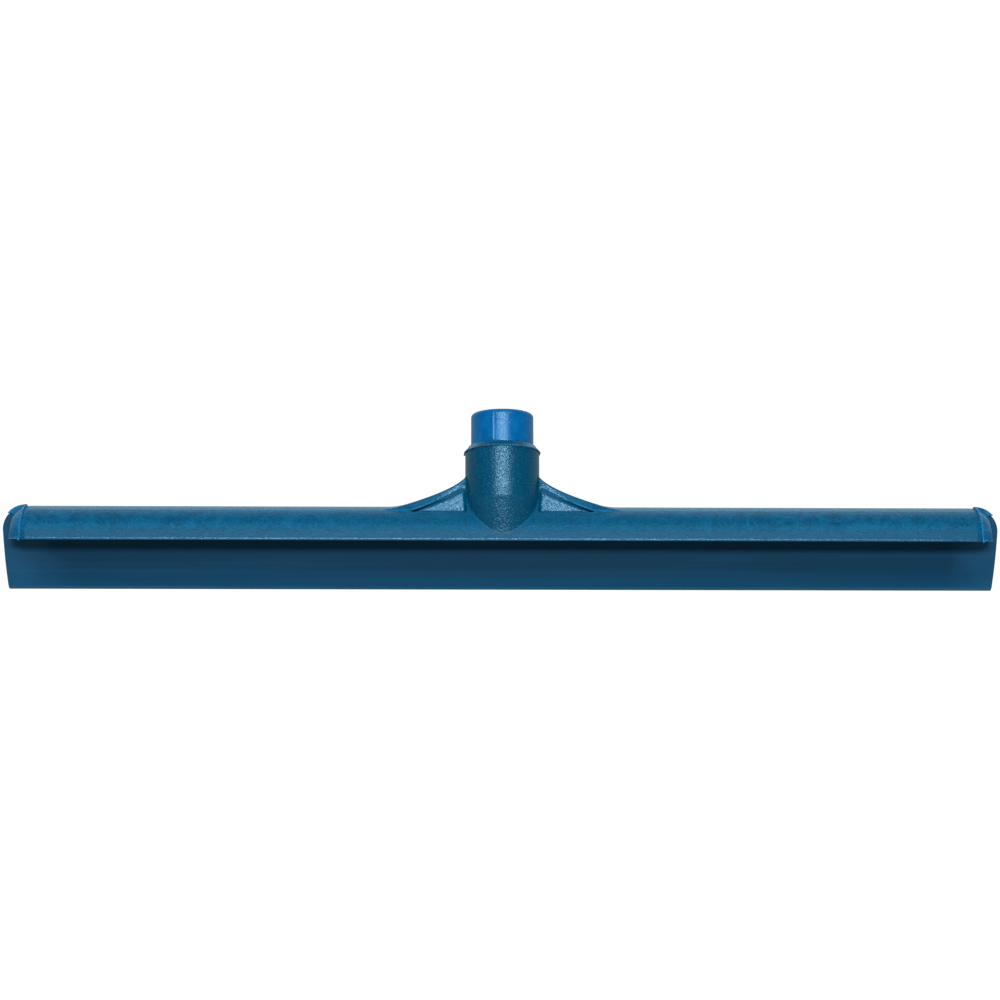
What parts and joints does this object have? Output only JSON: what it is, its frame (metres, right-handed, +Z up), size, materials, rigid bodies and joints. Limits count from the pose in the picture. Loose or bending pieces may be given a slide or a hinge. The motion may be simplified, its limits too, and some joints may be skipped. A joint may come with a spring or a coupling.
{
  "type": "floor squeegee head",
  "caption": "Long half-round floor squeegee head with a leaning threaded handle socket, side gussets, domed end caps and a flexible rubber wiping blade.",
  "frame": {"origin": "middle of the blade's bottom edge", "axes": "+X along the blade to the right as seen from the front, -Y towards the front, +Z up; the handle socket leans back towards +Y"},
  "size_m": [0.61, 0.0523, 0.111],
  "materials": {
    "moulding": "satin mid-blue polypropylene with a fine grain and faint flow marks",
    "end_cap": "satin blue polypropylene, slightly lighter, with a raised bead of flash at the joint",
    "blade": "matt dark navy rubber with faint lengthwise bands",
    "insert": "glossy bright blue plastic"
  },
  "bodies": {
    "head": {"frame": "moulding", "end_cap_left": "end_cap", "end_cap_right": "end_cap", "thread_insert": "insert", "blade_root": "blade"},
    "wiping_lip": {"blade_lip": "blade"}
  },
  "joints": [
    {"name": "blade_flex", "type": "hinge", "parent": "head", "child": "wiping_lip", "pos_m": [0, 0, 0.0297], "axis": [1, 0, 0], "range_deg": [-25, 25], "stiffness_Nm_per_rad": 5.5}
  ]
}
